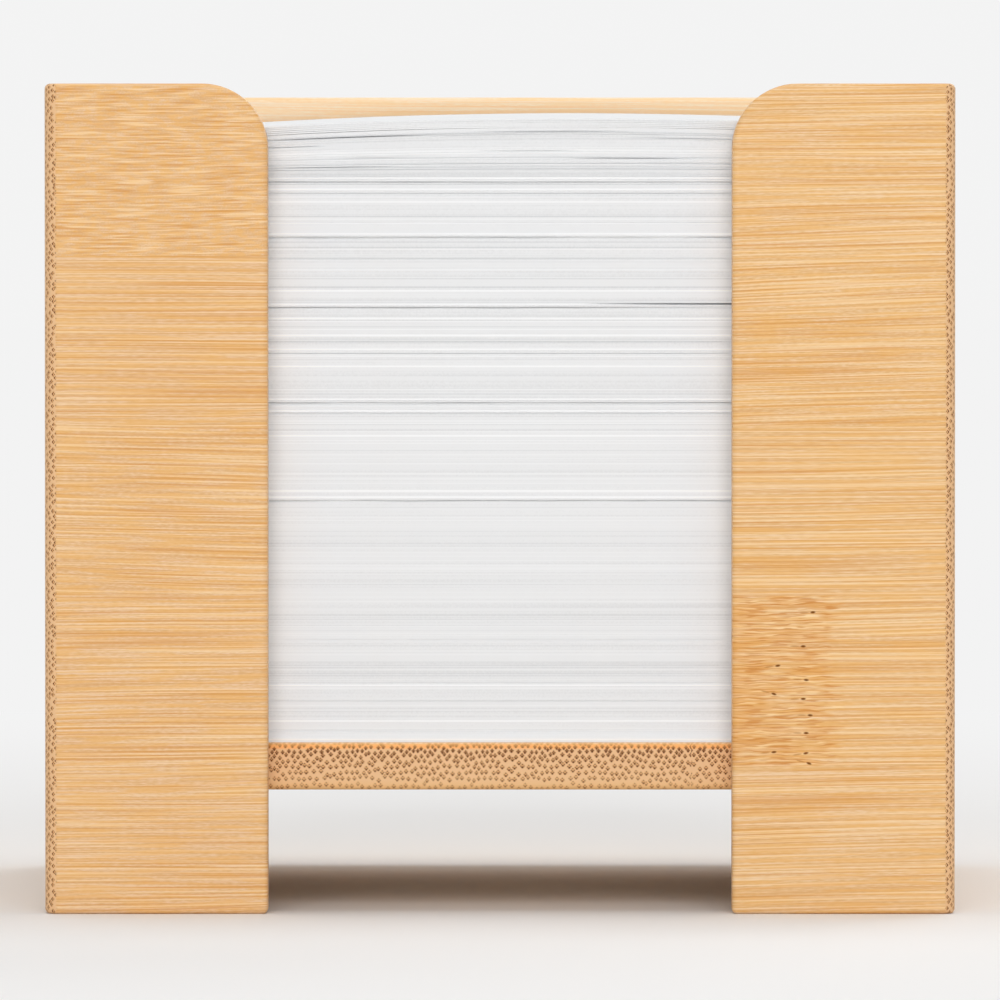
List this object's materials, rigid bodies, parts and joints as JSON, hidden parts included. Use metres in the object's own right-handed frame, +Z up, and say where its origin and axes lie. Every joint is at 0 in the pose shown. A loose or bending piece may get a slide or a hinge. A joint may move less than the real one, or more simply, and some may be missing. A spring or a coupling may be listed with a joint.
{
  "type": "memo box",
  "caption": "Open-topped bamboo memo box with a raised floor, front panels either side of a finger gap, and a stack of square note sheets that lift out.",
  "frame": {"origin": "on the table, under the middle of the box", "axes": "+Z up, the front with the finger gap faces -Y, +X to the right seen from the front"},
  "size_m": [0.102, 0.102, 0.093],
  "materials": {
    "bamboo": "sanded laminated bamboo under a thin satin lacquer",
    "note_paper": "uncoated white note paper with guillotined edges"
  },
  "bodies": {
    "box": {"front_panel_left": "bamboo", "front_panel_right": "bamboo", "side_wall_left": "bamboo", "side_wall_right": "bamboo", "floor_board": "bamboo", "back_wall": "bamboo"},
    "note_pack_1": {"note_pack_1": "note_paper"},
    "note_pack_2": {"note_pack_2": "note_paper"},
    "note_pack_3": {"note_pack_3": "note_paper"},
    "note_pack_4": {"note_pack_4": "note_paper"},
    "note_pack_5": {"note_pack_5": "note_paper"},
    "note_pack_6": {"note_pack_6": "note_paper"},
    "loose_sheet_1": {"loose_sheet_1": "note_paper"},
    "loose_sheet_2": {"loose_sheet_2": "note_paper"},
    "loose_sheet_3": {"loose_sheet_3": "note_paper"},
    "loose_sheet_4": {"loose_sheet_4": "note_paper"},
    "top_sheet": {"top_sheet": "note_paper"}
  },
  "joints": [
    {"name": "lift_note_pack_1", "type": "slide", "parent": "box", "child": "note_pack_1", "axis": [0, 0, 1], "range_m": [0, 0.079]},
    {"name": "lift_note_pack_2", "type": "slide", "parent": "note_pack_1", "child": "note_pack_2", "axis": [0, 0, 1], "range_m": [0, 0.0517]},
    {"name": "lift_note_pack_3", "type": "slide", "parent": "note_pack_2", "child": "note_pack_3", "axis": [0, 0, 1], "range_m": [0, 0.0407]},
    {"name": "lift_note_pack_4", "type": "slide", "parent": "note_pack_3", "child": "note_pack_4", "axis": [0, 0, 1], "range_m": [0, 0.03]},
    {"name": "lift_note_pack_5", "type": "slide", "parent": "note_pack_4", "child": "note_pack_5", "axis": [0, 0, 1], "range_m": [0, 0.0221]},
    {"name": "lift_note_pack_6", "type": "slide", "parent": "note_pack_5", "child": "note_pack_6", "axis": [0, 0, 1], "range_m": [0, 0.0159]},
    {"name": "lift_loose_sheet_1", "type": "slide", "parent": "note_pack_6", "child": "loose_sheet_1", "axis": [0, 0, 1], "range_m": [0, 0.012]},
    {"name": "lift_loose_sheet_2", "type": "slide", "parent": "loose_sheet_1", "child": "loose_sheet_2", "axis": [0, 0, 1], "range_m": [0, 0.0118]},
    {"name": "lift_loose_sheet_3", "type": "slide", "parent": "loose_sheet_2", "child": "loose_sheet_3", "axis": [0, 0, 1], "range_m": [0, 0.0116]},
    {"name": "lift_loose_sheet_4", "type": "slide", "parent": "loose_sheet_3", "child": "loose_sheet_4", "axis": [0, 0, 1], "range_m": [0, 0.0114]},
    {"name": "lift_top_sheet", "type": "slide", "parent": "loose_sheet_4", "child": "top_sheet", "axis": [0, 0, 1], "range_m": [0, 0.0112]}
  ]
}
